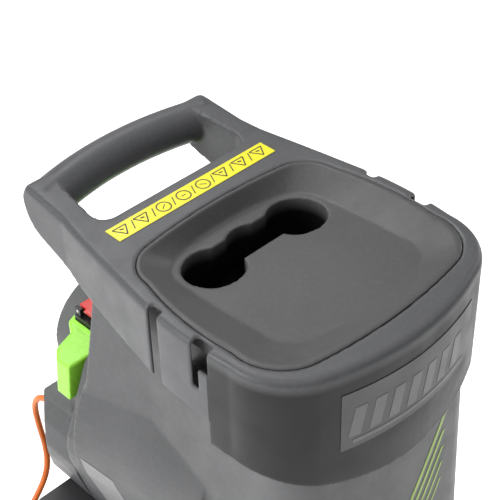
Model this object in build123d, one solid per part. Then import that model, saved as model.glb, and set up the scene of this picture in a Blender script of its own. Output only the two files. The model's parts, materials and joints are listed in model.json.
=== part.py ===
from build123d import *
from math import atan2, cos, pi, radians, sin, tan
import os

# Electric garden shredder: a hopper with a carrying handle stands on a cutting
# chamber, a motor housing sits behind it, and a wheeled base holds a collection box.
# Everything is drawn about the middle of the feed slot in the hood's top plane:
# +X is the machine's right, -Y its front, +Z up. PLACE then stands it on the floor.

# ---- driving dimensions (mm) ----
HEIGHT = 900.0            # floor to the hood's top plane
SLOT_Y = -15.5            # the slot's place once the machine is centred
FLOOR = -HEIGHT
WALL = 3.5                # moulded walls
FIT = 0.05                # radial running clearance of pins and shafts
GAP = 0.4                 # gap between neighbouring mouldings

FEED_R = 27.5             # the two feed holes take 45 mm branches
FEED_X = 49.0
TRAY_FLOOR = -16.5
TRAY_UNDER = -20.0
DISH_FRONT_Z = -5.0       # the dish gets shallower to the front
LIP = 3.6                 # flat lip round the dish
NECK_END = -58.0

HANDLE_Y = 185.0          # middle of the grip, at the machine's centre line
HANDLE_R = 19.5
HANDLE_RISE = 8.0         # the handle arms climb this far above the top plane
BACK_ARC_R = 324.0        # the hood's rear edge in plan
SKIRT_BREAK = -81.0       # the front apron starts here

DECK = -345.0             # top of the base, where the chute housing stands
DECK_END = -430.0
PART_Y = 105.0            # vertical parting plane, chute housing to motor housing
CHAMBER_Z = -245.0        # cutter axis
CHAMBER_R = 146.0
DISC_R = 108.0
HINGE_Y, HINGE_Z = -182.0, -336.0
LOCK_Y, LOCK_Z = 130.0, -245.0
EAR_IN, EAR_OUT = 146.6, 151.6
BLADE_HOLES = (50.0, 84.0)

COVER_Y = 206.0           # rear face of the motor cover
DOME_Y, DOME_R = 240.0, 62.0
CONSOLE_TOP = -168.0
CONSOLE_SPLIT = -208.0
COVER_SCREW_X = 100.0
COVER_SCREW_Z = (-276.0, -320.0)
GLAND_X, GLAND_Z = -76.0, -326.0
RESET_X = 40.0
SWITCH_X, SWITCH_Y = -42.0, 157.0
FLAP_DY, FLAP_Z = 17.0, -154.5

BOX_X = 148.0             # collection box half width
BOX_TOP = -472.0
BOX_BOTTOM = -878.0
LEG_IN, LEG_OUT = 150.5, 170.0
WHEEL_R = 75.0
WHEEL_Y = 165.0
WHEEL_IN, WHEEL_OUT = 176.0, 212.0
AXLE_R = 6.0

CORD_R = 3.5
LEAD_Z = FLOOR + CORD_R + 0.3

os.makedirs("parts", exist_ok=True)
PLACE = Pos(0, SLOT_Y, HEIGHT)


def save(name, *solids):
    shape = solids[0] if len(solids) == 1 else Compound(children=list(solids))
    export_step(PLACE * shape, "parts/" + name + ".step")


def block(x0, x1, y0, y1, z0, z1):
    return Pos((x0 + x1) / 2, (y0 + y1) / 2, (z0 + z1) / 2) * Box(x1 - x0, y1 - y0, z1 - z0)


def rod_x(x0, x1, y, z, r):
    return Pos((x0 + x1) / 2, y, z) * Rot(0, 90, 0) * Cylinder(r, x1 - x0)


def rod_y(y0, y1, x, z, r):
    return Pos(x, (y0 + y1) / 2, z) * Rot(90, 0, 0) * Cylinder(r, y1 - y0)


def rod_z(z0, z1, x, y, r):
    return Pos(x, y, (z0 + z1) / 2) * Cylinder(r, z1 - z0)


def mirrored_face(edges):
    half = Curve() + edges
    return make_face(half.edges() + mirror(half, about=Plane.YZ).edges())


def prism_x(points, x0, x1):
    face = Plane.YZ * make_face(Polyline(*points, close=True))
    return Pos(x0, 0, 0) * extrude(face, x1 - x0, dir=(1, 0, 0))


def prism_y(points, y0, y1):
    face = Plane.XZ * make_face(Polyline(*points, close=True))
    return Pos(0, y0, 0) * extrude(face, y1 - y0, dir=(0, 1, 0))


def both(shape):
    return [shape, mirror(shape, about=Plane.YZ)]


# ---- hood with its handle ----
def hood_plan(inset=0.0):
    back = HANDLE_Y + HANDLE_R + 0.5 - inset
    x = 106 - inset
    edges = [
        ThreePointArc((0, back), (x / 2, back - 4.3), (x, back - 17.5)),
        Line((x, back - 17.5), (108 - inset, 128)),
        ThreePointArc((108 - inset, 128), (118.5 - inset, 68), (131 - inset, -10)),
        ThreePointArc((131 - inset, -10), (134 - inset, -57), (131 - inset, -104)),
        ThreePointArc((131 - inset, -104), (121.5 - inset, -141 + inset), (95, -165 + inset)),
        ThreePointArc((95, -165 + inset), (48, -179 + inset), (0, -184 + inset)),
    ]
    return mirrored_face(edges)


def tray_plan(gap=0.0):
    edges = [
        ThreePointArc((0, 54 - gap), (42, 52.5 - gap), (82, 48 - gap)),
        ThreePointArc((82, 48 - gap), (102 - gap, 36), (111 - gap, 12)),
        ThreePointArc((111 - gap, 12), (120.5 - gap, -45), (119 - gap, -97)),
        ThreePointArc((119 - gap, -97), (110 - gap, -132), (86, -149 + gap)),
        ThreePointArc((86, -149 + gap), (44, -155 + gap), (0, -157 + gap)),
    ]
    return mirrored_face(edges)


def hood_skirt():
    """Side view of the hood: flat top, climbing arms with a round end, wavy lower edge, front apron."""
    nose = [(178, HANDLE_RISE), (183, 6), (186.3, 1), (187.5, -7), (186.5, -16), (183, -27), (177, -34)]
    under = [(166, -40.5), (141, -50), (112, -60), (98, -62.5), (72, -65.5), (45, -69), (9, -71.5), (-5, -73.5),
             (SKIRT_BREAK, -76)]
    side = prism_x([(104, 0)] + nose + under + [(SKIRT_BREAK, 0)], -150, 150)
    low = ThreePointArc((-140, -98), (0, -132), (140, -98))
    rim = Polyline((140, -98), (140, 0), (-140, 0), (-140, -98))
    apron = Plane.XZ * make_face(low.edges() + rim.edges())
    return side + Pos(0, SKIRT_BREAK, 0) * extrude(apron, 120, dir=(0, -1, 0))


def make_hood():
    hood = Pos(0, 0, -150) * extrude(hood_plan(), 170) & hood_skirt()
    rim = hood.edges().filter_by(lambda e: e.center().Z > -0.01 and abs(e.center().X) > 1)
    hood = fillet(rim, 6)
    inner = Pos(0, 0, -4) * extrude(hood_plan(WALL), -150)
    hood -= inner & block(-140, 140, -190, 93, -160, 0)
    # handle opening, arms hollow from below, round grip
    opening = make_face(Polyline((-88, 99), (88, 99), (74.5, 215), (-74.5, 215), close=True))
    opening = fillet(opening.vertices().sort_by(Axis.Y)[:2], 15)
    hood -= extrude(Pos(0, 0, -80) * opening, 100)
    for arm in both(block(93, 102, 108, 172, -70, -5)):
        hood -= arm
    arc_c = HANDLE_Y - (BACK_ARC_R - HANDLE_R)
    ends = radians(18.8)
    radius = BACK_ARC_R - HANDLE_R
    path = ThreePointArc((-radius * sin(ends), arc_c + radius * cos(ends)), (0, HANDLE_Y),
                         (radius * sin(ends), arc_c + radius * cos(ends)))
    path = Pos(0, 0, HANDLE_RISE - HANDLE_R - 0.02) * path
    grip = sweep(Plane(path @ 0, z_dir=path % 0) * Circle(HANDLE_R), path)
    hood += grip
    hood -= extrude(Pos(0, 0, -10) * tray_plan(), 20)
    for boss in both(rod_z(-12, -3, 91, 76, 8) - rod_z(-15, -4.5, 91, 76, 1.9)):
        hood += boss
    # clip notches in both sides
    for side in (-1, 1):
        for y0, y1, z0 in ((-23, -10, -73), (-82, -64, -26), (-71, -64, -47)):
            cut = block(124, 140, y0, y1, z0, 10)
            hood -= cut if side > 0 else mirror(cut, about=Plane.YZ)
    return hood


# ---- feed tray ----
def slot_face(grow=0.0):
    """Two round feed holes joined by a neck with a small bulge at its back."""
    back, front = 21.3 + grow, -10 - grow
    rear = Line((-31, back), (-16, back)) + Line((16, back), (31, back))
    rear += ThreePointArc((-16, back), (0, 27 + grow), (16, back))
    sides = Polyline((31, back), (31, front), (-31, front), (-31, back))
    holes = Pos(FEED_X, 0) * Circle(FEED_R + grow) + Pos(-FEED_X, 0) * Circle(FEED_R + grow)
    return make_face(rear.edges() + sides.edges()) + holes


def dish_floor():
    """Outline of the dish's floor, lying on a plane that rises gently to the front."""
    back, front = 41.0, -132.0
    slope = atan2(DISH_FRONT_Z - TRAY_FLOOR, back - front)
    edges = [
        ThreePointArc((0, 0), (36, -2), (66, -10.5)),
        ThreePointArc((66, -10.5), (78, -21), (83, -37)),
        ThreePointArc((83, -37), (84.5, -81), (83, -131)),
        ThreePointArc((83, -131), (78, -156), (62, -168)),
        ThreePointArc((62, -168), (30, -172), (0, -173)),
    ]
    plane = Plane(origin=(0, back, TRAY_FLOOR), x_dir=(1, 0, 0), z_dir=(0, sin(slope), cos(slope)))
    return plane * mirrored_face(edges)


def make_feed_tray():
    tray = extrude(tray_plan(GAP), TRAY_UNDER)
    dish = loft([Pos(0, 0, 0.5) * tray_plan(LIP), dish_floor()], ruled=True)
    tray -= dish
    tray += extrude(Pos(0, 0, TRAY_FLOOR - 1) * slot_face(3), NECK_END - TRAY_FLOOR + 1)
    tray -= extrude(Pos(0, 0, NECK_END - 5) * slot_face(), 70)
    return tray


# ---- chute housing: tapered shell, side flanks and the swollen cutting chamber ----
def body_face(front_x, back_x, front_y, back_y, inset, z):
    fx, bx = front_x - inset, back_x - inset
    fy, by = front_y + inset, back_y - inset
    edges = [
        Line((0, by), (bx - 8, by)),
        ThreePointArc((bx - 8, by), (bx - 2.3, by - 2.3), (bx, by - 8)),
        Line((bx, by - 8), (fx, fy + 46)),
        ThreePointArc((fx, fy + 46), (fx - 9, fy + 20), (fx - 32, fy + 6)),
        ThreePointArc((fx - 32, fy + 6), ((fx - 32) / 2, fy + 1.5), (0, fy)),
    ]
    return Pos(0, 0, z) * mirrored_face(edges)


def body_taper(inset):
    ends = 5 if inset else 0
    return loft([body_face(111, 100, -166, 90, inset, TRAY_UNDER + ends),
                 body_face(118, 119, -174, PART_Y, inset, DECK - ends)], ruled=True)


def chamber_face(r, foot, y, inset):
    r -= inset
    foot -= inset
    bottom = DECK - CHAMBER_Z - (5 if inset else 0)
    shoulder = (r * sin(radians(50)), r * cos(radians(50)))
    hip = (r * cos(radians(8)), -r * sin(radians(8)))
    edges = [
        ThreePointArc((0, r), shoulder, hip),
        Line(hip, (foot, bottom)),
        Line((foot, bottom), (0, bottom)),
    ]
    plane = Plane(origin=(0, y, CHAMBER_Z), x_dir=(1, 0, 0), z_dir=(0, -1, 0))
    return plane * mirrored_face(edges)


def chamber(inset):
    front, back = (-47 + inset, PART_Y + 1) if inset else (-47, PART_Y)
    return loft([chamber_face(123, 117, front, inset), chamber_face(CHAMBER_R, 121, back, inset)], ruled=True)


def flank(inset):
    def section(y, wide):
        points = [(-96, -66), (96, -66), (105 - inset, -68), (wide - inset, -205), (wide - inset, -250),
                  (-wide + inset, -250), (-wide + inset, -205), (-105 + inset, -68)]
        plane = Plane(origin=(0, y, 0), x_dir=(1, 0, 0), z_dir=(0, -1, 0))
        return plane * make_face(Polyline(*points, close=True))
    back = PART_Y - 5 - (WALL if inset else 0)
    return loft([section(10, 108), section(back, 134)], ruled=True)


def make_chute_housing():
    shell = body_taper(0) + chamber(0) + flank(0)
    shell -= body_taper(WALL)
    shell -= chamber(WALL)
    shell -= flank(WALL)
    # rear rim that the motor housing closes
    plane_y = PART_Y - 4
    rim = extrude(chamber_face(CHAMBER_R - 1, 120, plane_y, 0), 4, dir=(0, 1, 0))
    rim -= extrude(housing_face(5, plane_y - 5), 20, dir=(0, 1, 0))
    rim -= block(-116, 116, 90, 120, DECK - 5, -300)
    shell += rim
    # clip catches behind the hood's tabs, screw bosses under the hood's rear
    for catch in both(block(108, 126, -60, -32, -64, -58)):
        shell += catch
    for boss in both(rod_z(-50, -12.2, 91, 76, 8)):
        shell += boss
    for bore in both(rod_z(-60, 0, 91, 76, 2.1)):
        shell -= bore
    # hinge knuckles
    for x in (-58, 58):
        knuckle = rod_x(x - 9, x + 9, HINGE_Y, HINGE_Z, 7)
        knuckle += block(x - 9, x + 9, HINGE_Y, -168.5, HINGE_Z, HINGE_Z + 7)
        knuckle -= rod_x(x - 12, x + 12, HINGE_Y, HINGE_Z, 3 + FIT)
        shell += knuckle
    # ear with a slot that drops over the locking stud
    ear = prism_x([(66, -232), (LOCK_Y + 12, -232), (LOCK_Y + 12, -258), (66, -258)], EAR_IN, EAR_OUT)
    root = prism_x([(66, -232), (100, -232), (100, -258), (66, -258)], 134, EAR_OUT)
    slot = prism_x([(LOCK_Y - 4.6, LOCK_Z + 4.6), (LOCK_Y + 4.6, LOCK_Z + 4.6), (LOCK_Y + 14, -262),
                    (LOCK_Y - 4.6, -262)], 140, 160)
    shell += (root - chamber(WALL)) + (ear - slot)
    return shell


def make_feed_chute():
    outside = [(-36, NECK_END - 4), (36, NECK_END - 4), (36, -108), (57.5, -134), (57.5, -262), (-36, -168)]
    inside = [(-33, NECK_END), (33, NECK_END), (33, -109.5), (60, -138), (60, -260), (-33, -167)]
    duct = prism_x(outside, -85, 85) - prism_x(inside, -82, 82)
    for x in (-85, 85):
        duct += block(x - 7, x + 7, 50, 57.5, -250, -236)
    return duct


def make_baffle_plate():
    keep = chamber(WALL + GAP) & block(-150, 150, 58, 62, DECK + 1, -50)
    window = block(-76, 76, 50, 70, -259, -139)
    return keep - window


# ---- cutter and motor, all on one horizontal shaft ----
def make_blade_disc():
    disc = rod_y(84, 90, 0, CHAMBER_Z, DISC_R) - rod_y(80, 95, 0, CHAMBER_Z, 8 + FIT)
    for turn in (0, 180):
        spin = Pos(0, 0, CHAMBER_Z) * Rot(0, turn, 0)
        disc -= spin * block(34, 98, 80, 95, 15, 27)
        for x in BLADE_HOLES:
            disc -= spin * rod_y(80, 95, x, 2, 3.2)
    return disc


def make_blades():
    blades = []
    for turn in (0, 180):
        outline = [(36, -12), (98, -12), (98, 15), (36, 15)]
        blade = prism_y(outline, 79, 84)
        blade -= prism_x([(79, 15), (79, 8), (84.2, 15.1)], 30, 100)
        for x in BLADE_HOLES:
            blade -= rod_y(70, 90, x, 2, 3.2)
        blades.append(Pos(0, 0, CHAMBER_Z) * Rot(0, turn, 0) * blade)
    return blades


def make_blade_screws():
    screws = []
    for turn in (0, 180):
        for x in BLADE_HOLES:
            screw = rod_y(75, 79, x, 2, 6) + rod_y(79, 96, x, 2, 3.1) - rod_y(74, 77, x, 2, 2.5)
            screws.append(Pos(0, 0, CHAMBER_Z) * Rot(0, turn, 0) * screw)
    return screws


def hexagon_y(y0, y1, x, z, apothem):
    face = Plane.XZ * RegularPolygon(apothem, 6, major_radius=False)
    return Pos(x, y0, z) * extrude(face, y1 - y0, dir=(0, 1, 0))


def make_motor_shaft():
    shaft = rod_y(84, 90, 0, CHAMBER_Z, 8) + rod_y(90, 99, 0, CHAMBER_Z, 22)
    shaft += rod_y(99, 223, 0, CHAMBER_Z, 8.5) + rod_y(223, 234, 0, CHAMBER_Z, 6)
    return shaft - rod_y(80, 120, 0, CHAMBER_Z, 4.1)


def ring_y(y0, y1, inner, outer):
    return rod_y(y0, y1, 0, CHAMBER_Z, outer) - rod_y(y0 - 1, y1 + 1, 0, CHAMBER_Z, inner)


def make_fan():
    fan = ring_y(126, 134, 8.5 + FIT, 13) + ring_y(126, 127.5, 12, 42)
    for i in range(10):
        fan += Pos(0, 0, CHAMBER_Z) * Rot(0, 36 * i, 0) * block(12, 41, 127, 134, -0.8, 0.8)
    return fan


def make_stator():
    core = ring_y(148, 190, 33, 50)
    coils = [ring_y(y, y + 8, 35, 46) for y in (139.6, 190.4)]
    return core, coils


def make_end_bracket():
    bracket = ring_y(190.4, 224, 46.5, 50) + ring_y(223.5, 226, 13 + FIT, 50)
    bracket += ring_y(225, 234, 13 + FIT, 16.5)
    for i in range(6):
        bracket -= Pos(0, 0, CHAMBER_Z) * Rot(0, 60 * i + 30, 0) * block(22, 40, 220, 228, -9, 9)
    for side in (-1, 1):
        bracket -= block(min(44 * side, 52 * side), max(44 * side, 52 * side), 204, 216,
                         CHAMBER_Z - 5, CHAMBER_Z + 5)
    return bracket


# ---- motor housing: bulkhead and flange, then the cover with the console on it ----
def housing_face(inset, y):
    rim = [(48, -110), (90, -138), (110, -165), (122, -193), (127, -210), (140, -238), (142.5, -255),
           (141, -270), (134, -296)]
    rim = [(x - inset, z - (inset if z > -180 else 0)) for x, z in rim]
    foot = (121 - inset, DECK + 0.3 + inset)
    edges = [Line((0, -103 - inset), rim[0]), Polyline(*rim, foot), Line(foot, (0, foot[1]))]
    plane = Plane(origin=(0, y, 0), x_dir=(1, 0, 0), z_dir=(0, -1, 0))
    return plane * mirrored_face(edges)


def make_motor_housing():
    ring_end = 122.0
    housing = extrude(housing_face(0, PART_Y + 0.8), ring_end - PART_Y - 0.8, dir=(0, 1, 0))
    housing -= extrude(housing_face(WALL, PART_Y + 5), 60, dir=(0, 1, 0))
    housing += ring_y(PART_Y + 4, 150, 50 + GAP / 2, 54) + ring_y(PART_Y + 4, 122, 20 + FIT, 27)
    housing -= rod_y(100, 130, 0, CHAMBER_Z, 12)
    for side in (-1, 1):
        for z in COVER_SCREW_Z:
            x = side * COVER_SCREW_X
            housing += rod_y(PART_Y + 4, ring_end, x, z, 6.5)
            housing -= rod_y(PART_Y + 8, ring_end + 1, x, z, 2.1)
    housing -= rod_y(100, 112, 0, -180, 3)
    # locking stud's boss in the right flank
    boss = rod_x(124, EAR_IN - GAP, LOCK_Y, LOCK_Z, 11) + block(124, 138, 112, LOCK_Y, LOCK_Z - 8, LOCK_Z + 8)
    boss -= rod_x(120, 160, LOCK_Y, LOCK_Z, 4)
    return housing + boss


def cover_shape(inset):
    """Outer or inner form of the motor cover: tapered box, pedestal under the console, round dome."""
    front = 100 if inset else 122 + GAP
    half = [(112, -258), (128, -268), (136, -288), (134, -304), (121, DECK)]
    points = [(x - inset, z - (inset if i == 0 else 0)) for i, (x, z) in enumerate(half)]
    points[-1] = (121 - inset, DECK + 0.3 + inset)
    ring = points + [(-x, z) for x, z in reversed(points)]
    plan = [(140, 90), (140 - inset, 164), (106 - inset, COVER_Y - inset)]
    plan = make_face(Polyline(*plan, *[(-x, y) for x, y in reversed(plan)], close=True))
    shape = prism_y(ring, front, COVER_Y - inset) & extrude(Pos(0, 0, -360) * plan, 120)
    low = [(104 - inset, -262), (116 - inset, CONSOLE_SPLIT - GAP), (-116 + inset, CONSOLE_SPLIT - GAP),
           (-104 + inset, -262)]
    under = extrude(Pos(0, 0, -270) * console_outline(2 + inset), 80) + block(-125, 125, 90, 140, -270, -190)
    pedestal = prism_y(low, front, 190 - inset) & under
    dome = rod_y(front, DOME_Y - inset, 0, CHAMBER_Z, DOME_R - inset)
    return shape, pedestal, dome


def make_motor_cover():
    shape, pedestal, dome = cover_shape(0)
    clear = rod_x(110, 160, LOCK_Y, LOCK_Z, 17)
    front = 122 + GAP
    outer = shape + pedestal + dome
    for hollow in cover_shape(WALL):
        outer -= hollow
    outer -= block(-160, 160, 80, front, -400, 0)
    outer -= clear
    # cooling slots in the dome and the cover's back
    for i in range(-3, 4):
        z = CHAMBER_Z + 13 * i
        half = (50 ** 2 - (13 * i) ** 2) ** 0.5
        outer -= block(-half, half, DOME_Y - 8, DOME_Y + 5, z - 2.5, z + 2.5)
    for side in (-1, 1):
        for z in COVER_SCREW_Z:
            x = side * COVER_SCREW_X
            outer += rod_y(front, COVER_Y, x, z, 6.5) & shape
            outer -= rod_y(100, 260, x, z, 2.6)
            outer -= rod_y(128, 260, x, z, 5)
    # gland seat for the mains lead
    outer += rod_y(COVER_Y - 16, COVER_Y - 0.5, GLAND_X, GLAND_Z, 12)
    outer -= rod_y(COVER_Y - 20, COVER_Y + 5, GLAND_X, GLAND_Z, 7.5)
    return outer


def make_strain_relief():
    body = rod_y(COVER_Y - 18, COVER_Y, GLAND_X, GLAND_Z, 7.4)
    body += rod_y(COVER_Y, COVER_Y + 4, GLAND_X, GLAND_Z, 10.5)
    sleeve = Pos(GLAND_X, COVER_Y + 3, GLAND_Z) * Rot(-90, 0, 0) * Cone(
        7, 5, 27, align=(Align.CENTER, Align.CENTER, Align.MIN))
    return body + sleeve


# ---- switch console ----
def console_outline(inset, narrow=0.0):
    """Plan of the console: wide in front, narrower behind the switch."""
    back, front, side = 189 - inset, 130 + inset, 125 - inset - narrow
    half = [(64 - inset, back), (80 - inset, 183 - inset), (88 - inset, 169 - inset), (112 - inset, 161 - inset),
            (side, 149 - inset), (side, front)]
    return make_face(Polyline(*half, *[(-x, y) for x, y in reversed(half)], close=True))


def make_console_cap():
    cap = loft([Pos(0, 0, CONSOLE_SPLIT) * console_outline(0), Pos(0, 0, CONSOLE_TOP) * console_outline(0, 4)],
               ruled=True)
    cap = fillet(cap.faces().sort_by(Axis.Z)[-1].edges(), 2.5)
    cap -= loft([Pos(0, 0, CONSOLE_SPLIT - 1) * console_outline(3), Pos(0, 0, CONSOLE_TOP - 3) * console_outline(3, 4)],
                ruled=True)
    cap += Pos(SWITCH_X, SWITCH_Y, CONSOLE_TOP + 1) * (Box(70, 46, 3) - Box(66.4, 42.4, 10))
    cap -= block(SWITCH_X - 33.2, SWITCH_X + 33.2, SWITCH_Y - 21.2, SWITCH_Y + 21.2, -190, -150)
    cap -= rod_z(-190, -150, RESET_X, SWITCH_Y, 8 + GAP)
    cap -= rod_y(100, 220, 0, CHAMBER_Z, DOME_R + GAP)
    return cap


def make_switch_body():
    x, y = SWITCH_X, SWITCH_Y
    body = block(x - 33, x + 33, y - 21, y + 21, -181.8, -160)
    for dx in (-14, 14):
        body -= block(x + dx - 9, x + dx + 9, y - 13, y + 5, -178, -150)
    for side in (-1, 1):
        body += block(x + side * 30 - 2, x + side * 30 + 2, y + 13, y + 21, -160, -151)
    return body - rod_x(x - 40, x + 40, y + FLAP_DY, FLAP_Z, 1.5)


def make_button(dx):
    button = block(SWITCH_X + dx - 8.6, SWITCH_X + dx + 8.6, SWITCH_Y - 12.6, SWITCH_Y + 4.6, -174, -156.5)
    return fillet(button.faces().sort_by(Axis.Z)[-1].edges(), 1.2)


def make_switch_flap():
    x, y = SWITCH_X, SWITCH_Y
    flap = block(x - 31, x + 31, y - 20, y + 8, -151, -148.5)
    flap += block(x - 27.5, x + 27.5, y + 7, y + 18.5, -151, -148.5)
    flap += rod_x(x - 27.5, x + 27.5, y + FLAP_DY, FLAP_Z, 3) + block(
        x - 27.5, x + 27.5, y + FLAP_DY - 3, y + FLAP_DY, FLAP_Z, -149)
    flap += block(x - 31, x + 31, y - 20, y - 18, -159.5, -149)
    flap += rod_z(-155, -149, x + 14, y - 4, 5)
    return flap - rod_x(x - 40, x + 40, y + FLAP_DY, FLAP_Z, 1.5 + FIT)


def make_reset():
    body = block(RESET_X - 13, RESET_X + 13, SWITCH_Y - 9, SWITCH_Y + 9, -188.6, -178)
    button = rod_z(-175.5, -163, RESET_X, SWITCH_Y, 8)
    return body, fillet(button.faces().sort_by(Axis.Z)[-1].edges(), 1.5)


# ---- side knob that clamps the chute housing ----
def make_lock_knob():
    hub = rod_x(EAR_OUT + 0.3, 177, LOCK_Y, LOCK_Z, 11) + rod_x(158, 176, LOCK_Y, LOCK_Z, 18)
    for i in range(6):
        turn = radians(60 * i)
        hub += rod_x(158, 176, LOCK_Y + 16 * cos(turn), LOCK_Z + 16 * sin(turn), 5.5)
    return hub - rod_x(150, 173, LOCK_Y, LOCK_Z, 4 + FIT)


# ---- base: deck, two side legs and a back panel ----
def deck_face(grow, inset, z):
    side, back, front = 160 + grow, 160 + grow * 2.5, -184 - grow * 0.7
    edges = [
        Line((0, back - inset), (side - inset, back - inset)),
        Line((side - inset, back - inset), (140 + grow * 2.6 - inset, -104)),
        ThreePointArc((140 + grow * 2.6 - inset, -104), (125 + grow * 2 - inset, -146 - grow * 0.9 + inset),
                      (84 + grow, -175 - grow + inset)),
        ThreePointArc((84 + grow, -175 - grow + inset), (42 + grow / 2, -181.5 - grow * 0.8 + inset),
                      (0, front + inset)),
    ]
    return Pos(0, 0, z) * mirrored_face(edges)


def make_deck():
    outer = loft([deck_face(0, 0, DECK), deck_face(12, 0, DECK_END)], ruled=True)
    deck = outer - loft([deck_face(0, 4, DECK - 4), deck_face(13, 4, DECK_END - 5)], ruled=True)
    for boss in both(rod_z(DECK_END, DECK - 2, 160, -100, 6.5) + rod_z(DECK_END, DECK - 2, 160, 60, 6.5)):
        deck += boss & outer
    for bore in both(rod_z(DECK_END - 5, DECK_END + 25, 160, -100, 2.1)
                     + rod_z(DECK_END - 5, DECK_END + 25, 160, 60, 2.1)):
        deck -= bore
    deck += block(-104, 104, 54, 116, -464, DECK)
    deck -= block(-100, 100, 58, 112, -470, DECK + 5)
    for x in (-58, 58):
        for x0, x1 in ((x - 19, x - 9.5), (x + 9.5, x + 19)):
            lug = rod_x(x0, x1, HINGE_Y, HINGE_Z, 7) + block(x0, x1, -189, -175.8, DECK - 45, HINGE_Z)
            lug -= block(x0, x1, -176.2, -170, DECK, HINGE_Z + 10)
            deck += lug
        deck -= rod_x(x - 25, x + 25, HINGE_Y, HINGE_Z, 3)
    keeper = block(-30, 30, -209, -187, -431, -421) - block(-21, 21, -206, -200.6, -440, -410)
    return deck + keeper


def make_hinge_pins():
    return [rod_x(x - 20, x + 20, HINGE_Y, HINGE_Z, 3 - 0.01) + rod_x(x + 19.1, x + 21.5, HINGE_Y, HINGE_Z, 4.5)
            for x in (-58, 58)]


def make_leg():
    outline = [(-158, DECK_END), (190, DECK_END), (186, -800), (180, -845), (150, -868), (110, -868),
               (80, -840),
               (-75, -840), (-105, -885), (-165, -885), (-165, -850)]
    inner = [(-154, DECK_END - 4), (186, DECK_END - 4), (182, -800), (176.5, -842), (148, -864), (112, -864),
             (84, -836), (-77, -836), (-107, -881), (-161, -881), (-161, -850)]
    leg = prism_x(outline, LEG_IN, LEG_OUT + 2) - prism_x(inner, LEG_IN - 1, LEG_OUT - 1.5)
    leg += rod_x(LEG_IN, LEG_OUT, WHEEL_Y, FLOOR + WHEEL_R, 14)
    leg += block(138, LEG_IN + 0.5, -158, 140, -884, -879.5)
    leg += block(LEG_IN, LEG_OUT, -158, -108, -884, -879.5)
    leg += block(LEG_IN, LEG_OUT, -77, 82, -884, -879.5)
    for y in (-76, 78):
        leg += block(LEG_IN, LEG_OUT, y - 2, y + 2, -884, -838)
    for z in (-520, -640, -760):
        leg += block(LEG_IN, LEG_OUT, -154, 184, z - 1.5, z + 1.5)
    leg -= rod_x(100, 200, WHEEL_Y, FLOOR + WHEEL_R, AXLE_R + FIT)
    for y in (-100, 60):
        leg -= rod_z(DECK_END - 6, DECK_END + 1, 160, y, 2.6)
    return leg - rod_z(-890, -880, 161, -135, 4)


def make_back_panel():
    panel = block(-LEG_IN, LEG_IN, 150, 154, -872, -470)
    for z in (-560, -670, -780):
        panel += block(-146, 146, 153, 160, z - 3, z + 3)
    return panel


def make_foot():
    foot = rod_z(FLOOR, -885, 161, -135, 11) + rod_z(-886, -880.5, 161, -135, 4 - 0.02)
    return foot


# ---- wheels ----
def make_wheel():
    z = FLOOR + WHEEL_R
    rim = rod_x(177, 208, WHEEL_Y, z, 16)
    rim += rod_x(179, 209, WHEEL_Y, z, 62) - rod_x(170, 220, WHEEL_Y, z, 56)
    for i in range(6):
        spoke = block(190, 197, -6.5, 6.5, 14, 58)
        rim += Pos(0, WHEEL_Y, z) * Rot(60 * i, 0, 0) * spoke
    rim -= rod_x(170, 220, WHEEL_Y, z, AXLE_R + FIT)
    tyre = rod_x(WHEEL_IN, WHEEL_OUT, WHEEL_Y, z, WHEEL_R) - rod_x(170, 220, WHEEL_Y, z, 62)
    for i in range(24):
        groove = block(170, 220, -2, 2, WHEEL_R - 3, WHEEL_R + 3) - block(190, 198, -5, 5, 0, 100)
        tyre -= Pos(0, WHEEL_Y, z) * Rot(15 * i + 7.5, 0, 0) * groove
    cap = rod_x(204, 216, WHEEL_Y, z, 19) - rod_x(200, 213.5, WHEEL_Y, z, 16)
    return rim, tyre, cap


# ---- collection box ----
def box_face(inset, front, z):
    edges = [
        Line((0, 146 - inset), (BOX_X - inset, 146 - inset)),
        Line((BOX_X - inset, 146 - inset), (BOX_X - inset, -172)),
        ThreePointArc((BOX_X - inset, -172), (BOX_X - 5 - inset * 0.8, -181 + inset * 0.8),
                      (BOX_X - 16, -186 + inset)),
        ThreePointArc((BOX_X - 16, -186 + inset), (66, front * 0.25 - 186 * 0.75 + inset * 0.9 - 7), (0, front + inset)),
    ]
    return Pos(0, 0, z) * mirrored_face(edges)


def make_collection_box():
    box = extrude(box_face(0, -200, BOX_BOTTOM), BOX_TOP - BOX_BOTTOM)
    box += extrude(box_face(0, -200, BOX_BOTTOM), -434 - BOX_BOTTOM) & block(-160, 160, -210, -183, -900, -430)
    box -= extrude(box_face(3, -200, BOX_BOTTOM + 3), 500)
    grip = Pos(0, -190, -545) * Rot(90, 0, 0) * extrude(fillet(Rectangle(116, 30).vertices(), 14), 60, both=True)
    box -= grip & block(-80, 80, -230, -160, -600, -500)
    for side in (-1, 1):
        x0, x1 = sorted((side * 20.8, side * 26))
        box += block(x0, x1, -205.4, -198, -500, -446)
        x0, x1 = sorted((side * 17, side * 26))
        box += block(x0, x1, -207.6, -205.4, -476, -446)
    box += block(-26, 26, -207.6, -198, -508, -501)
    return box


def make_box_latch():
    return block(-20.4, 20.4, -205, -200.6, -500, -437) + block(-16, 16, -209, -204, -498, -444)


# ---- screws ----
def make_cover_screws():
    screws = []
    for x in (-COVER_SCREW_X, COVER_SCREW_X):
        for z in COVER_SCREW_Z:
            screws.append(rod_y(113, 128, x, z, 2.05) + rod_y(128, 131.5, x, z, 4.6) - rod_y(129.5, 135, x, z, 2))
    return screws


def make_deck_screws():
    half = []
    for y in (-100, 60):
        half.append(rod_z(DECK_END - 4, DECK_END + 20, 160, y, 2.05) + rod_z(DECK_END - 7.5, DECK_END - 4, 160, y, 4.6))
    return half + [mirror(screw, about=Plane.YZ) for screw in half]


def make_hood_screws():
    return both(rod_z(-50, -5, 91, 76, 1.85) + rod_z(-53, -50, 91, 76, 4.5))


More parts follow.
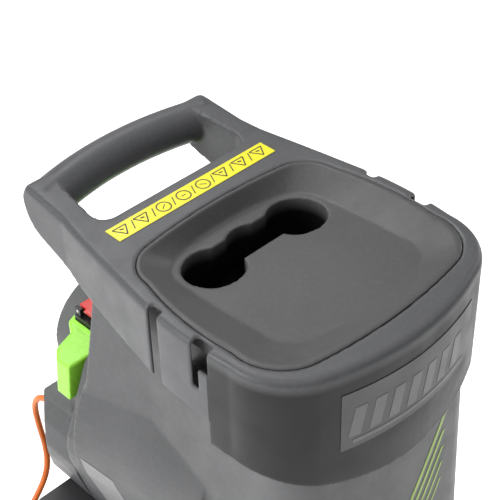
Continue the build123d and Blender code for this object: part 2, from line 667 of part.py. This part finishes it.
# ---- mains lead ----
CORD_ROUTE = [
    (-76, 236, -326), (-76.4, 257, -329), (-76.2, 275, -342), (-75, 285, -364), (-73, 286, -394),
    (-72, 280, -428), (-80, 272, -455), (-103, 267, -477), (-132, 265, -501), (-158, 267, -534),
    (-177, 271, -580), (-189, 276, -634), (-197, 281, -690), (-203, 285, -746), (-208, 290, -796),
    (-211, 296, -835), (-212, 306, -863), (-210.5, 324, -883), (-207.5, 346, -893.5),
    (-201, 369, LEAD_Z), (-196, 388, LEAD_Z),
]
TAIL_ROUTE = [
    (-89, 437, FLOOR + 24), (-70.5, 417.5, FLOOR + 19), (-64.5, 394, FLOOR + 10), (-66, 370, LEAD_Z),
    (-78, 344, LEAD_Z),
]
COIL_X, COIL_Y, COIL_R = -134.0, 392.0, 49.7
COIL_WIDE, COIL_HIGH = 30.2, 28.3


def cord_tube(route):
    points = [Vector(*p) for p in route]
    runs = [(b - a) for a, b in zip(points, points[1:])]
    radii = []
    for before, after in zip(runs, runs[1:]):
        half = radians(before.get_angle(after)) / 2
        radii.append(0.45 * min(before.length, after.length) / tan(half))
    path = FilletPolyline(*route, radius=radii)
    return sweep(Plane(path @ 0, z_dir=path % 0) * Circle(CORD_R), path)


def make_cord_coil():
    low = FLOOR + 0.3
    coil = rod_z(low, low + COIL_HIGH, COIL_X, COIL_Y, COIL_R + COIL_WIDE / 2)
    return coil - rod_z(low - 1, low + 40, COIL_X, COIL_Y, COIL_R - COIL_WIDE / 2)


def make_plug():
    x, y, z = -78.0, 338.0, FLOOR + 19.3
    body = Pos(x, y - 24, z) * Box(36, 30, 38)
    body = fillet(body.edges().filter_by(Axis.Y), 10)
    nose = block(x - 6, x + 6, y - 12, y + 6, FLOOR + 0.3, FLOOR + 14)
    pins = [Pos(px, y - 39 - 9.5, z) * Rot(90, 0, 0) * Cylinder(2.4, 19) for px in (x - 9.5, x + 9.5)]
    return body + nose, pins


# ---- write every piece ----
save("hood", make_hood())
save("feed_tray", make_feed_tray())
save("chute_housing", make_chute_housing())
save("feed_chute", make_feed_chute())
save("baffle_plate", make_baffle_plate())
save("hood_screws", *make_hood_screws())

save("blade_disc", make_blade_disc())
save("cutter_blades", *make_blades())
save("blade_screws", *make_blade_screws())
save("disc_washer", ring_y(81, 84, 4.6, 16))
save("disc_bolt", hexagon_y(74.5, 81, 0, CHAMBER_Z, 8) + rod_y(81, 114, 0, CHAMBER_Z, 4))
save("motor_shaft", make_motor_shaft())
save("rotor_core", ring_y(146, 192, 8.5 + FIT, 32) + ring_y(137, 146, 9, 24) + ring_y(192, 199, 9, 24))
save("commutator", ring_y(202, 220, 8.5 + FIT, 18))
save("cooling_fan", make_fan())
save("front_bearing", ring_y(112.5, 121.5, 8.5 + FIT, 20))
save("rear_bearing", ring_y(225.5, 233.5, 6 + FIT, 13))
stator_core, field_coils = make_stator()
save("stator_core", stator_core)
save("field_coils", *field_coils)
save("motor_end_bracket", make_end_bracket())
save("carbon_brushes", *both(block(18.4, 43, 206, 214, CHAMBER_Z - 4, CHAMBER_Z + 4)))

save("motor_housing", make_motor_housing())
save("motor_cover", make_motor_cover())
save("cover_screws", *make_cover_screws())
save("strain_relief", make_strain_relief())
save("console_cap", make_console_cap())
save("switch_body", make_switch_body())
save("start_button", make_button(-14))
save("stop_button", make_button(14))
save("switch_flap", make_switch_flap())
save("flap_pin", rod_x(SWITCH_X - 32, SWITCH_X + 32, SWITCH_Y + FLAP_DY, FLAP_Z, 1.5 - 0.01))
reset_body, reset_button = make_reset()
save("reset_body", reset_body)
save("reset_button", reset_button)
save("safety_switch", block(-14, 14, PART_Y + 8.5, 122, -188, -172) + rod_y(PART_Y - 1, PART_Y + 9, 0, -180, 2.5))
save("lock_stud", rod_x(125, 172, LOCK_Y, LOCK_Z, 4 - 0.01))
save("lock_knob", make_lock_knob())

save("base_deck", make_deck())
save("hinge_pins", *make_hinge_pins())
save("right_leg", make_leg())
save("left_leg", mirror(make_leg(), about=Plane.YZ))
save("back_panel", make_back_panel())
save("deck_screws", *make_deck_screws())
save("right_foot", make_foot())
save("left_foot", mirror(make_foot(), about=Plane.YZ))
save("axle", rod_x(-211.5, 211.5, WHEEL_Y, FLOOR + WHEEL_R, AXLE_R))
AXLE_Z = FLOOR + WHEEL_R
washer = rod_x(172.3, 176.4, WHEEL_Y, AXLE_Z, 13) - rod_x(170, 180, WHEEL_Y, AXLE_Z, AXLE_R + FIT)
clip = rod_x(208.4, 209.6, WHEEL_Y, AXLE_Z, 12) - rod_x(200, 220, WHEEL_Y, AXLE_Z, AXLE_R + 0.01)
save("axle_washers", *both(washer))
save("axle_clips", *both(clip))
rim, tyre, cap = make_wheel()
for side, pieces in (("right", (rim, tyre, cap)), ("left", [mirror(s, about=Plane.YZ) for s in (rim, tyre, cap)])):
    for name, piece in zip(("wheel", "tyre", "wheel_cap"), pieces):
        save(side + "_" + name, piece)

save("collection_box", make_collection_box())
save("box_latch", make_box_latch())

save("cord", cord_tube(CORD_ROUTE))
save("cord_tail", cord_tube(TAIL_ROUTE))
save("cord_coil", make_cord_coil())
plug_body, plug_pins = make_plug()
save("plug_body", plug_body)
save("plug_pins", *plug_pins)
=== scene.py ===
"""Electric garden shredder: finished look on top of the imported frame, in metres."""
import json
import math

import bmesh
import bpy
from mathutils import Matrix, Vector, bvhtree


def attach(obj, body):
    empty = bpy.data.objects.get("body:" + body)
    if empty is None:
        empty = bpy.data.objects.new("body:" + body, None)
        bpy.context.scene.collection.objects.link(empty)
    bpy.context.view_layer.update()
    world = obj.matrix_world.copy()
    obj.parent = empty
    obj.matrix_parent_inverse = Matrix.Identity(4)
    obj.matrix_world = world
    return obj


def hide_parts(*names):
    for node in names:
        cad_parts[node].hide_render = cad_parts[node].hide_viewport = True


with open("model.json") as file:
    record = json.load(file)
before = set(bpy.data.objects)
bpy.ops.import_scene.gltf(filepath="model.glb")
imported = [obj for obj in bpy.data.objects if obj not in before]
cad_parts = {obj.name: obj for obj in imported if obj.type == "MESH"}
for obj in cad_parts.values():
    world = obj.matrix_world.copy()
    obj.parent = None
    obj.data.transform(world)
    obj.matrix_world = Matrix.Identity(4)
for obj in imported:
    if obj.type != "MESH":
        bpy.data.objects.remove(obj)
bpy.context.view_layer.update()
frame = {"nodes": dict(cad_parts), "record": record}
NODES = frame["nodes"]

SLOT_Y = -0.0155          # the feed slot's place in the frame
HEIGHT = 0.900            # floor to the hood's top plane


def place(x, y, z):
    """A point given in mm from the feed slot, in the row frame in metres."""
    return Vector((x / 1000, y / 1000 + SLOT_Y, z / 1000 + HEIGHT))


# ---- camera ----
camera_data = bpy.data.cameras.new("camera")
camera_data.sensor_width = 36
camera_data.lens = 94.9
camera_data.clip_end = 20
camera = bpy.data.objects.new("camera", camera_data)
bpy.context.scene.collection.objects.link(camera)
right = Vector((0.716, -0.698, -0.024)).normalized()
back = Vector((-0.532, -0.568, 0.628)).normalized()
up = back.cross(right).normalized()
right = up.cross(back)
camera.matrix_world = Matrix((
    (right.x, up.x, back.x, -0.60317),
    (right.y, up.y, back.y, -0.65199),
    (right.z, up.z, back.z, 1.58382),
    (0, 0, 0, 1)))
bpy.context.scene.camera = camera


# ---- materials ----
class Surface:
    """A node material on the Principled shader, built up in steps."""

    def __init__(self, name, rough, metal=0.0, coat=0.0, specular=0.5):
        self.material = bpy.data.materials.new(name)
        self.material.use_nodes = True
        self.tree = self.material.node_tree
        self.tree.nodes.clear()
        out = self.new("OutputMaterial")
        self.shader = self.new("BsdfPrincipled")
        self.link(self.shader.outputs[0], out.inputs[0])
        self.shader.inputs["Roughness"].default_value = rough
        self.shader.inputs["Metallic"].default_value = metal
        self.shader.inputs["Coat Weight"].default_value = coat
        self.shader.inputs["Specular IOR Level"].default_value = specular
        self.at = self.new("TexCoord").outputs["Object"]
        self.height = None

    def new(self, kind):
        return self.tree.nodes.new("ShaderNode" + kind)

    def link(self, a, b):
        self.tree.links.new(a, b)

    def stretched(self, scale):
        node = self.new("Mapping")
        node.inputs["Scale"].default_value = scale
        self.link(self.at, node.inputs["Vector"])
        return node.outputs[0]

    def noise(self, scale, detail=3.0, at=None):
        node = self.new("TexNoise")
        node.inputs["Scale"].default_value = scale
        node.inputs["Detail"].default_value = detail
        self.link(at or self.at, node.inputs["Vector"])
        return node.outputs[0]

    def ramp(self, value, stops):
        node = self.new("ValToRGB")
        elements = node.color_ramp.elements
        while len(elements) < len(stops):
            elements.new(0.5)
        for element, (where, colour) in zip(elements, stops):
            element.position = where
            element.color = (*colour, 1.0)
        self.link(value, node.inputs[0])
        return node.outputs[0]

    def mix(self, amount, a, b):
        node = self.new("Mix")
        node.data_type = "RGBA"
        self.link(amount, node.inputs[0])
        for socket, value in ((node.inputs[6], a), (node.inputs[7], b)):
            if isinstance(value, tuple):
                socket.default_value = (*value, 1.0)
            else:
                self.link(value, socket)
        return node.outputs[2]

    def span(self, value, low, high, to_low, to_high):
        node = self.new("MapRange")
        for key, number in (("From Min", low), ("From Max", high), ("To Min", to_low), ("To Max", to_high)):
            node.inputs[key].default_value = number
        self.link(value, node.inputs["Value"])
        return node.outputs[0]

    def colour(self, socket):
        self.link(socket, self.shader.inputs["Base Color"])

    def rough(self, socket):
        self.link(socket, self.shader.inputs["Roughness"])

    def bump(self, value, strength, distance):
        node = self.new("Bump")
        node.inputs["Strength"].default_value = strength
        node.inputs["Distance"].default_value = distance
        self.link(value, node.inputs["Height"])
        if self.height:
            self.link(self.height, node.inputs["Normal"])
        self.height = node.outputs[0]
        self.link(self.height, self.shader.inputs["Normal"])


def shade(colour, k):
    return tuple(min(1.0, c * k) for c in colour)


def moulded(name, colour, rough=0.5, tint=0.12, grain=900, bump=0.25, wear=0.0, dirt=0.0, specular=0.5):
    """Injection moulded plastic: spark-eroded grain, soft mottling, pale rubbed edges, dust low down."""
    s = Surface(name, rough, specular=specular)
    cloud = s.noise(7, 4)
    base = s.ramp(cloud, [(0.3, shade(colour, 1 - tint)), (0.7, shade(colour, 1 + tint))])
    fleck = s.noise(260, 2)
    base = s.mix(s.span(fleck, 0.45, 0.75, 0, 0.35), base, shade(colour, 1.35))
    if dirt:
        smear = s.noise(3.1, 6, s.stretched((1, 1, 0.25)))
        base = s.mix(s.span(smear, 0.5, 0.8, 0, dirt), base, (0.23, 0.21, 0.18))
    if wear:
        point = s.new("NewGeometry").outputs["Pointiness"]
        rub = s.new("Math")
        rub.operation = "MULTIPLY"
        s.link(s.span(point, 0.52, 0.60, 0, wear), rub.inputs[0])
        s.link(s.span(s.noise(55, 5), 0.42, 0.62, 0.2, 1.0), rub.inputs[1])
        base = s.mix(rub.outputs[0], base, shade(colour, 2.0))
    s.colour(base)
    s.rough(s.span(s.noise(38, 5), 0.3, 0.7, rough - 0.07, rough + 0.08))
    s.bump(s.noise(grain, 2), bump, 0.0002)
    scratch = s.noise(90, 3, s.stretched((1, 9, 3)))
    s.bump(s.span(scratch, 0.62, 0.68, 0, 1), 0.06, 0.0002)
    return s.material


def metal(name, colour, rough=0.3, stretch=(1, 1, 30), tint=0.15, bump=0.1, stain=(0.25, 0.2, 0.16),
          amount=0.25):
    """Worked metal: drawn or turned marks, uneven polish, faint staining."""
    s = Surface(name, rough, metal=1.0)
    cloud = s.noise(25, 5)
    base = s.ramp(cloud, [(0.3, shade(colour, 1 - tint)), (0.7, shade(colour, 1 + tint))])
    base = s.mix(s.span(s.noise(60, 6), 0.55, 0.8, 0, amount), base, stain)
    s.colour(base)
    lines = s.noise(220, 3, s.stretched(stretch))
    s.rough(s.span(lines, 0.3, 0.7, rough - 0.1, rough + 0.15))
    s.bump(lines, bump, 0.0001)
    return s.material


def rubber(name, colour, rough=0.75, grain=500):
    s = Surface(name, rough, specular=0.3)
    cloud = s.noise(20, 5)
    base = s.ramp(cloud, [(0.3, shade(colour, 0.8)), (0.75, shade(colour, 1.5))])
    base = s.mix(s.span(s.noise(9, 6), 0.5, 0.75, 0, 0.3), base, (0.16, 0.14, 0.12))
    s.colour(base)
    s.rough(s.span(s.noise(45, 4), 0.3, 0.7, rough - 0.1, rough + 0.12))
    s.bump(s.noise(grain, 3), 0.35, 0.0003)
    return s.material


def zoned(name, colour, dark, rough, zone):
    """Moulded plastic whose colour changes by place on the part: zone builds the mask from the surface."""
    material = moulded(name, colour, rough, wear=0.45, specular=0.28)
    tree = material.node_tree
    s = Surface.__new__(Surface)
    s.material, s.tree, s.height = material, tree, None
    s.shader = next(n for n in tree.nodes if n.type == "BSDF_PRINCIPLED")
    s.at = next(n for n in tree.nodes if n.type == "TEX_COORD").outputs["Object"]
    link = s.shader.inputs["Base Color"].links[0].from_socket
    # the dark colour where the zone mask is 1: the apron's colour, and painted shade in the catch notches and
    # the feed throat
    cloud = s.ramp(s.noise(11, 4), [(0.3, shade(dark, 0.8)), (0.7, shade(dark, 1.25))])
    s.colour(s.mix(zone(s), link, cloud))
    return material


def axis_of(s, index):
    node = s.new("SeparateXYZ")
    s.link(s.at, node.inputs[0])
    return node.outputs[index]


def combined(s, operation, a, b):
    node = s.new("Math")
    node.operation = operation
    s.link(a, node.inputs[0])
    s.link(b, node.inputs[1])
    return node.outputs[0]


def times(s, a, b):
    return combined(s, "MULTIPLY", a, b)


def apron_zone(s):
    """The front apron, from the seam at y -81 forward and below the rounded rim."""
    front = s.span(axis_of(s, 1), -0.0968, -0.0963, 1, 0)
    low = s.span(axis_of(s, 2), HEIGHT - 0.014, HEIGHT - 0.005, 1, 0)
    return times(s, front, low)


def band(s, index, low, high, edge=0.002):
    """A mask that is 1 between two places along an axis, in metres, with soft edges."""
    return times(s, s.span(axis_of(s, index), low, low + edge, 0, 1),
                 s.span(axis_of(s, index), high - edge, high, 1, 0))


def notch_shade_and_apron(s):
    """The apron, and painted shade in a box at the two catch notches on the left, which reaches little of
    their walls.
    """
    low = s.span(axis_of(s, 2), HEIGHT - 0.022, HEIGHT - 0.014, 1, 0)
    deep = times(s, band(s, 0, -0.1270, -0.1150, 0.003), low)
    both = combined(s, "MAXIMUM", band(s, 1, -0.0405, -0.0235), band(s, 1, -0.0990, -0.0780))
    return combined(s, "MAXIMUM", times(s, deep, both), apron_zone(s))


def throat_painted_shade(s):
    """Painted shade inside the feed throat: coloured near black so that it reads as a deep hole."""
    return s.span(axis_of(s, 2), HEIGHT - 0.030, HEIGHT - 0.0185, 1, 0)


MATERIALS = {
    # the hood's dark colour lies on the apron, and as painted shade in the catch notches
    "hood_plastic": zoned("hood_plastic", (0.088, 0.089, 0.093), (0.0085, 0.0085, 0.0085), 0.38, notch_shade_and_apron),
    "housing_plastic": moulded("housing_plastic", (0.100, 0.101, 0.104), 0.45, wear=0.3, dirt=0.06,
                               specular=0.35),
    "base_plastic": moulded("base_plastic", (0.028, 0.028, 0.030), 0.5, wear=0.3, dirt=0.2),
    "lime_plastic": moulded("lime_plastic", (0.33, 0.80, 0.06), 0.36, tint=0.06, grain=1400, bump=0.12,
                            wear=0.25),
    "red_plastic": moulded("red_plastic", (0.62, 0.025, 0.02), 0.32, tint=0.08, grain=1400, bump=0.1),
    "switch_plastic": moulded("switch_plastic", (0.016, 0.016, 0.017), 0.42, bump=0.2),
    "bright_steel": metal("bright_steel", (0.62, 0.62, 0.63), 0.3),
    "blade_steel": metal("blade_steel", (0.52, 0.52, 0.53), 0.28, stretch=(30, 1, 1), amount=0.4),
    "core_steel": metal("core_steel", (0.22, 0.22, 0.23), 0.45, stretch=(1, 40, 1)),
    "bracket_alloy": metal("bracket_alloy", (0.60, 0.60, 0.60), 0.5, stretch=(1, 1, 1), bump=0.3),
    "copper": metal("copper", (0.72, 0.33, 0.15), 0.35, stretch=(1, 25, 1)),
    "carbon": rubber("carbon", (0.02, 0.02, 0.02), 0.6),
    "cable_orange": rubber("cable_orange", (0.80, 0.17, 0.035), 0.5, 300),
    "plug_plastic": moulded("plug_plastic", (0.018, 0.018, 0.019), 0.45, bump=0.3),
    "plug_brass": metal("plug_brass", (0.75, 0.58, 0.28), 0.25, stretch=(1, 20, 1)),
    "tyre_plastic": rubber("tyre_plastic", (0.022, 0.022, 0.023), 0.7),
    "foot_rubber": rubber("foot_rubber", (0.02, 0.02, 0.02), 0.8),
}
for part in frame["record"]["subparts"]:
    node = NODES[part["node"]]
    node.data.materials.clear()
    node.data.materials.append(MATERIALS[part["material_slot"]])
SLOT_OF = {part["node"]: part["material_slot"] for part in frame["record"]["subparts"]}


# ---- helpers for new pieces ----
def add(name, mesh_or_curve, material, body, slot, *replaced):
    piece = bpy.data.objects.new(name, mesh_or_curve)
    bpy.context.scene.collection.objects.link(piece)
    if material:
        piece.data.materials.append(material)
    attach(piece, body)
    if replaced:
        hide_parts(*replaced)
    return piece


def baked(source, name):
    """The mesh of an object with its modifiers applied."""
    graph = bpy.context.evaluated_depsgraph_get()
    mesh = bpy.data.meshes.new_from_object(source.evaluated_get(graph))
    mesh.name = name
    return mesh


def soften(node_name, body, voxel, passes, name=None):
    """A finer copy of a moulding, with every edge rounded as a mould leaves it."""
    name = name or node_name + "_skin"
    temp = bpy.data.objects.new(name + "_temp", NODES[node_name].data.copy())
    bpy.context.scene.collection.objects.link(temp)
    remesh = temp.modifiers.new("remesh", "REMESH")
    remesh.mode = "VOXEL"
    remesh.voxel_size = voxel
    remesh.use_smooth_shade = True
    smooth = temp.modifiers.new("smooth", "SMOOTH")
    smooth.factor = 0.5
    smooth.iterations = passes
    mesh = baked(temp, name)
    bpy.data.objects.remove(temp)
    mesh.materials.clear()
    slot = SLOT_OF[node_name]
    return add(name, mesh, MATERIALS[slot], body, slot, node_name)


def bevel(node_name, width, segments=2, angle=35):
    node = NODES[node_name]
    edge = node.modifiers.new("edge", "BEVEL")
    edge.width = width
    edge.segments = segments
    edge.limit_method = "ANGLE"
    edge.angle_limit = math.radians(angle)
    edge.harden_normals = False


# ---- mains lead ----
CORD_R = 0.0035
LEAD_Z = -900 + 3.8
lead = [
    (-76, 236, -326), (-76.4, 257, -329), (-76.2, 275, -342), (-75, 285, -364), (-73, 286, -394),
    (-72, 280, -428), (-80, 272, -455), (-103, 267, -477), (-132, 265, -501), (-158, 267, -534),
    (-177, 271, -580), (-189, 276, -634), (-197, 281, -690), (-203, 285, -746), (-208, 290, -796),
    (-211, 296, -835), (-212, 306, -863), (-210.5, 324, -883), (-207.5, 346, -893.5),
    (-201, 369, LEAD_Z), (-196, 388, LEAD_Z),
]
COIL = (-134, 392)
COIL_OUT, COIL_IN = 61.2, 38.2
LAYER = 7.05
TURNS_PER_LAYER = 3.22
CLIMB = 51.0              # degrees of turn in which the lead changes layer
STEP = 20.0
layer_sweep = TURNS_PER_LAYER * 360


def coil_points():
    """Four flat spirals on each other, in and out by turns, wound clockwise from the lead's entry."""
    points = []
    whole = 4 * layer_sweep + 3 * CLIMB
    count = round(whole / STEP)
    for i in range(1, count + 1):
        angle = whole * i / count
        layer = min(3, int(angle // (layer_sweep + CLIMB)))
        into = angle - layer * (layer_sweep + CLIMB)
        part = min(1.0, into / layer_sweep)
        rise = max(0.0, into - layer_sweep) / CLIMB
        rise = rise * rise * (3 - 2 * rise)
        radius = COIL_OUT + (COIL_IN - COIL_OUT) * (part if layer % 2 == 0 else 1 - part)
        # a control point stands a little outside the curve it draws
        radius = radius / (1 - (math.radians(whole / count) ** 2) / 8)
        turn = math.radians(180 - angle)
        points.append((COIL[0] + radius * math.cos(turn), COIL[1] + radius * math.sin(turn),
                       LEAD_Z + LAYER * (layer + rise)))
    return points


tail = [(-89, 437, -876), (-70.5, 417.5, -881), (-64.5, 394, -890), (-66, 370, LEAD_Z), (-78, 344, LEAD_Z)]
cord_curve = bpy.data.curves.new("mains_lead", "CURVE")
cord_curve.dimensions = "3D"
cord_curve.bevel_depth = CORD_R
cord_curve.bevel_resolution = 5
cord_curve.resolution_u = 8
line = cord_curve.splines.new("NURBS")
cord_points = lead + coil_points() + tail
line.points.add(len(cord_points) - 1)
for point, where in zip(line.points, cord_points):
    point.co = (*place(*where), 1)
line.order_u = 3
line.use_endpoint_u = True
cord_curve.use_fill_caps = True
cord = add("mains_lead", cord_curve, MATERIALS["cable_orange"], "frame", "cable_orange",
           "cord", "cord_tail", "cord_coil")

# ---- softened mouldings ----
hood = soften("hood", "hopper", 0.0014, 6)
tray = soften("feed_tray", "hopper", 0.0013, 4)
body = soften("chute_housing", "hopper", 0.0016, 6)
soften("motor_housing", "frame", 0.0016, 4)
soften("motor_cover", "frame", 0.0016, 4)
# the tray's dark colour is painted shade, laid low inside the feed throat
tray.data.materials[0] = zoned("tray_plastic_throat_shade", (0.075, 0.075, 0.076), (0.004, 0.004, 0.004), 0.42,
                               throat_painted_shade)
# painted shade: the baffle plate is steel; it and the chute are shown near black so that the slot looks deep
for name in ("feed_chute", "baffle_plate"):
    NODES[name].data.materials[0] = moulded(name + "_plastic", (0.012, 0.012, 0.013), 0.6)
soften("console_cap", "frame", 0.0012, 3)
soften("switch_flap", "switch_flap", 0.0010, 2)
soften("collection_box", "collection_box", 0.0020, 5)
for side in ("left", "right"):
    soften(side + "_leg", "frame", 0.0018, 4)
    soften(side + "_foot", "frame", 0.0014, 3)
for name in ("start_button", "stop_button", "reset_button", "lock_knob", "switch_body", "plug_body"):
    bevel(name, 0.0008)
for name in ("base_deck", "box_latch", "left_wheel", "right_wheel", "left_wheel_cap", "right_wheel_cap",
             "back_panel", "strain_relief"):
    bevel(name, 0.0009)


# ---- labels and stripes that lie on the mouldings ----
def tree_of(target):
    return bvhtree.BVHTree.FromObject(target, bpy.context.evaluated_depsgraph_get())


def laid(name, shapes, target, axis, body_name, material, slot, lift=0.00025, thick=0.0003):
    """Thin printed shapes pressed onto a moulding: quads in mm in a plane, dropped along an axis."""
    hit = tree_of(target)
    work = bmesh.new()
    way = Vector(axis)
    for quad, across, along in shapes:
        rows = []
        for i in range(along + 1):
            row = []
            for j in range(across + 1):
                u, v = i / along, j / across
                a = quad[0].lerp(quad[1], u)
                b = quad[3].lerp(quad[2], u)
                start = a.lerp(b, v) - way * 0.15
                where = hit.ray_cast(start, way)[0]
                if where is None:
                    row.append(None)
                    continue
                row.append((work.verts.new(where - way * lift), work.verts.new(where - way * (lift + thick))))
            rows.append(row)
        for i in range(along):
            for j in range(across):
                cell = [rows[i][j], rows[i + 1][j], rows[i + 1][j + 1], rows[i][j + 1]]
                if None in cell:
                    continue
                work.faces.new([c[1] for c in cell])
                work.faces.new([c[0] for c in reversed(cell)])
        edge = [rows[0][j] for j in range(across + 1)] + [rows[i][across] for i in range(1, along + 1)]
        edge += [rows[along][j] for j in range(across - 1, -1, -1)]
        edge += [rows[i][0] for i in range(along - 1, 0, -1)]
        for a, b in zip(edge, edge[1:] + edge[:1]):
            if a and b:
                work.faces.new((a[0], b[0], b[1], a[1]))
    bmesh.ops.recalc_face_normals(work, faces=work.faces)
    mesh = bpy.data.meshes.new(name)
    work.to_mesh(mesh)
    work.free()
    return add(name, mesh, material, body_name, slot)


def top_quad(x0, y0, x1, y1, width):
    """A straight mark on the hood's top, between two points in mm."""
    a, b = Vector((x0, y0)), Vector((x1, y1))
    side = (b - a).orthogonal().normalized() * width / 2
    return [place(p.x, p.y, 5) for p in (a + side, b + side, b - side, a - side)]


STRIP_BACK, STRIP_FRONT, STRIP_X = 87.5, 67.9, 92.0
yellow = moulded("label_yellow", (0.80, 0.72, 0.005), 0.35, tint=0.05, grain=1600, bump=0.05)
ink = moulded("label_ink", (0.035, 0.033, 0.02), 0.5, tint=0.3, grain=1500, bump=0.05)
strip = [place(x, y, 5) for x, y in ((-STRIP_X, STRIP_FRONT), (STRIP_X, STRIP_FRONT), (STRIP_X, STRIP_BACK),
                                     (-STRIP_X, STRIP_BACK))]
laid("label_strip", [(strip, 4, 46)], hood, (0, 0, -1), "hopper", yellow, "lime_plastic")
marks = []
CELL = 2 * STRIP_X / 8
RING_R = 6.6
middle = (STRIP_BACK + STRIP_FRONT) / 2
for k in range(8):
    cx = -STRIP_X + CELL * (k + 0.5)
    if k:
        edge_x = -STRIP_X + CELL * k
        marks.append((top_quad(edge_x - 2.5, middle - 5.5, edge_x + 2.5, middle + 5.5, 1.0), 1, 2))
    if k in (2, 3, 4):
        turns = [math.radians(a) for a in range(0, 361, 18)]
        ring = [(cx + RING_R * math.cos(a), middle + RING_R * math.sin(a)) for a in turns]
        marks += [(top_quad(*p, *q, 1.2), 1, 1) for p, q in zip(ring, ring[1:])]
        marks.append((top_quad(cx - 2.5, middle + (k - 3) * 2, cx + 2.5, middle - (k - 3) * 2, 0.9), 1, 1))
    else:
        corners = [(cx - 7.2, middle + 5.4), (cx + 7.2, middle + 5.4), (cx, middle - 6.6)]
        marks += [(top_quad(*p, *q, 1.2), 1, 4) for p, q in zip(corners, corners[1:] + corners[:1])]
        marks.append((top_quad(cx - 1.8, middle + 2.2, cx + 1.8, middle + 1.0, 1.6), 1, 1))
laid("label_marks", marks, hood, (0, 0, -1), "hopper", ink, "switch_plastic", lift=0.0006, thick=0.0001)


def front_quad(x0, z0, x1, z1, width):
    """A slanting bar on a front face, between two points in mm, cut level at both ends."""
    return [place(x, -250, z) for x, z in ((x0, z0), (x1, z1), (x1 + width, z1), (x0 + width, z0))]


badge = moulded("badge_grey", (0.060, 0.060, 0.062), 0.42, tint=0.06)
badge_light = moulded("badge_light", (0.12, 0.12, 0.125), 0.4, tint=0.06)
laid("badge_plate", [(front_quad(-78, -24, -78, -85, 156), 40, 12)], hood, (0, 1, 0), "hopper", badge,
     "housing_plastic")
bars = [(front_quad(-66 + 19 * k, -42, -72 + 19 * k, -72, 11), 4, 6) for k in range(7)]
bars.append((front_quad(-68, -76, -68, -80, 134), 30, 2))
laid("badge_bars", bars, hood, (0, 1, 0), "hopper", badge_light, "housing_plastic", lift=0.0006, thick=0.0002)

patch = [place(-320, y, z) for y, z in ((96, -246), (56, -252), (30, -330), (78, -330))]
patch_grey = moulded("print_grey", (0.21, 0.21, 0.215), 0.4, tint=0.05)
laid("body_patch", [(patch, 8, 10)], body, (1, 0, 0), "hopper", patch_grey, "housing_plastic", lift=0.0002,
     thick=0.00015)
lime_print = moulded("print_lime", (0.28, 0.42, 0.07), 0.4, tint=0.2)
STRIPE_LEAN = 0.62
stripes = [(front_quad(61, -150 - 20 * k, 61 - STRIPE_LEAN * (110 - 20 * k), -260, 5.5 - 0.6 * k), 2, 26)
           for k in range(5)]
laid("body_stripes", stripes, body, (0, 1, 0), "hopper", lime_print, "lime_plastic", lift=0.0002,
     thick=0.00015)

# ---- studio ----
floor_mesh = bpy.data.meshes.new("studio_floor")
grid = bmesh.new()
bmesh.ops.create_grid(grid, x_segments=8, y_segments=8, size=6)
grid.to_mesh(floor_mesh)
grid.free()
floor = bpy.data.objects.new("studio_floor", floor_mesh)
bpy.context.scene.collection.objects.link(floor)
floor_surface = Surface("studio_floor", 0.9)
floor_tones = [(0.3, (0.93, 0.93, 0.93)), (0.7, (0.96, 0.96, 0.96))]
floor_surface.colour(floor_surface.ramp(floor_surface.noise(4, 3), floor_tones))
# the floor gives off some light of its own, which keeps it near white under a soft studio light
floor_surface.shader.inputs["Emission Color"].default_value = (1, 1, 1, 1)
floor_surface.shader.inputs["Emission Strength"].default_value = 0.55
floor.data.materials.append(floor_surface.material)

world = bpy.data.worlds.new("studio")
world.use_nodes = True
world.node_tree.nodes["Background"].inputs[0].default_value = (1, 1, 1, 1)
world.node_tree.nodes["Background"].inputs[1].default_value = 0.36
bpy.context.scene.world = world
bpy.context.scene.view_settings.view_transform = "Standard"


def area_light(name, where, aim, size, power, colour=(1, 1, 1)):
    data = bpy.data.lights.new(name, "AREA")
    data.shape = "RECTANGLE"
    data.size, data.size_y = size
    data.energy = power
    data.color = colour
    lamp = bpy.data.objects.new(name, data)
    bpy.context.scene.collection.objects.link(lamp)
    lamp.location = where
    lamp.rotation_euler = (Vector(aim) - Vector(where)).to_track_quat("-Z", "Y").to_euler()


area_light("key_left", (-2.6, 1.0, 2.2), (0, 0, 0.8), (1.6, 1.6), 62)
area_light("top_back", (0.5, 1.6, 2.9), (0, 0, 0.85), (1.6, 1.2), 34)
area_light("rim_right", (2.4, -0.2, 1.5), (0, 0, 0.75), (0.8, 1.6), 14)
area_light("floor_fill", (-0.8, -0.4, 5.0), (0.4, 0.6, 0), (4.5, 4.5), 70)
